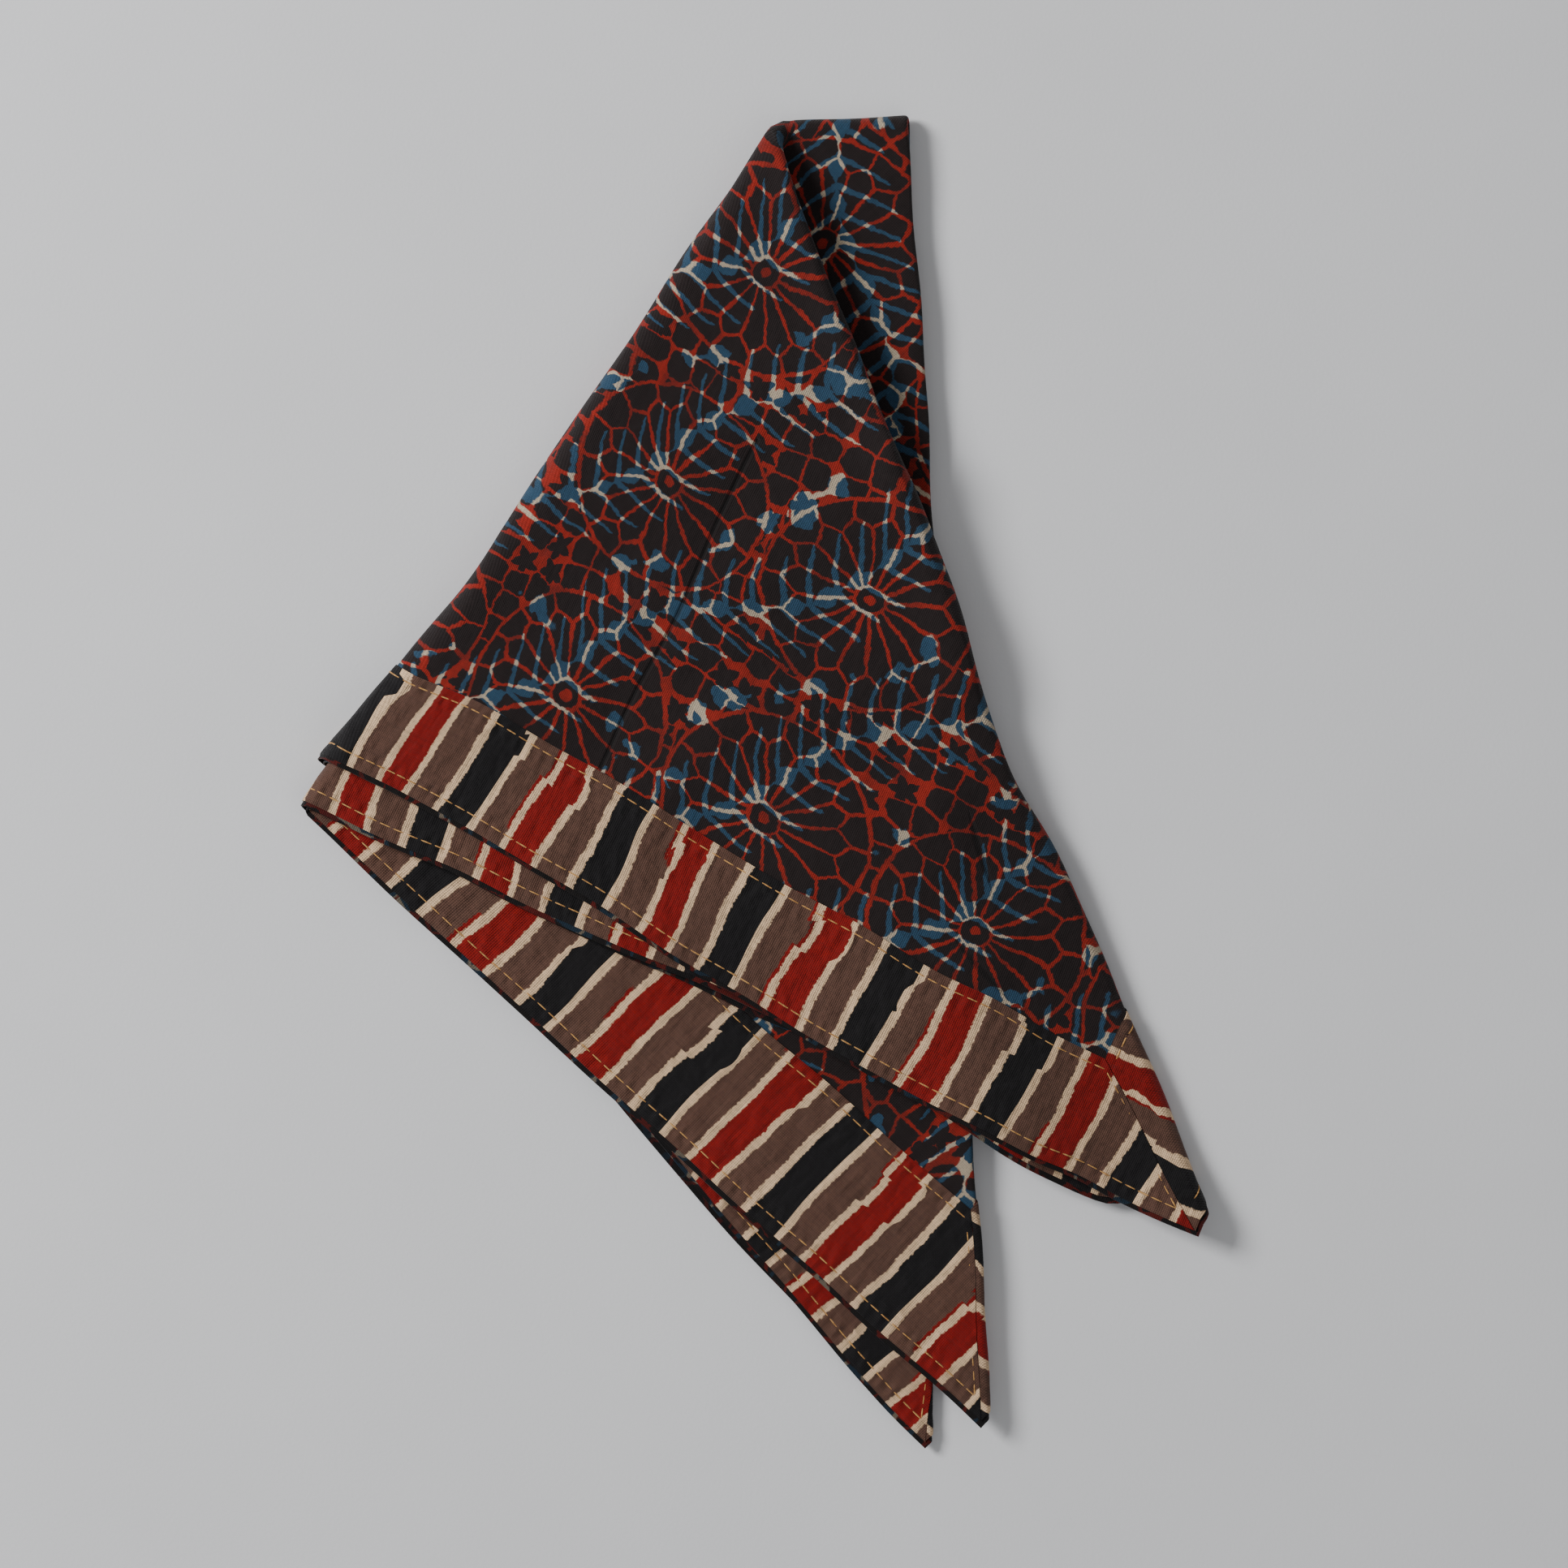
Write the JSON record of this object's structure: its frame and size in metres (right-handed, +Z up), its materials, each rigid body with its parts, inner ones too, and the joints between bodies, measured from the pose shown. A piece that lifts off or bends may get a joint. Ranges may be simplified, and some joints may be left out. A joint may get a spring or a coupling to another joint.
{
  "type": "folded cloth",
  "caption": "Square block-printed cotton cloth with mitred striped borders, folded into an eight-layer triangle that lies flat.",
  "frame": {"origin": "centre of the bounding box, on the surface the cloth lies on", "axes": "+Z up from the surface; +Y towards the folded centre of the cloth, the top of the picture; +X to the right of the picture, where the flap's tip points"},
  "size_m": [0.1972, 0.2897, 0.0108],
  "materials": {
    "print": "plain-weave cotton, block-printed near-black, brick red and indigo",
    "stripes": "plain-weave cotton, block-printed brown, cream, red and black stripes"
  },
  "bodies": {
    "root": {"printed_panel": "print", "border_flap_top": "stripes", "border_lower_second": "stripes", "border_flap_second": "stripes", "border_lower_top": "stripes"}
  },
  "joints": []
}
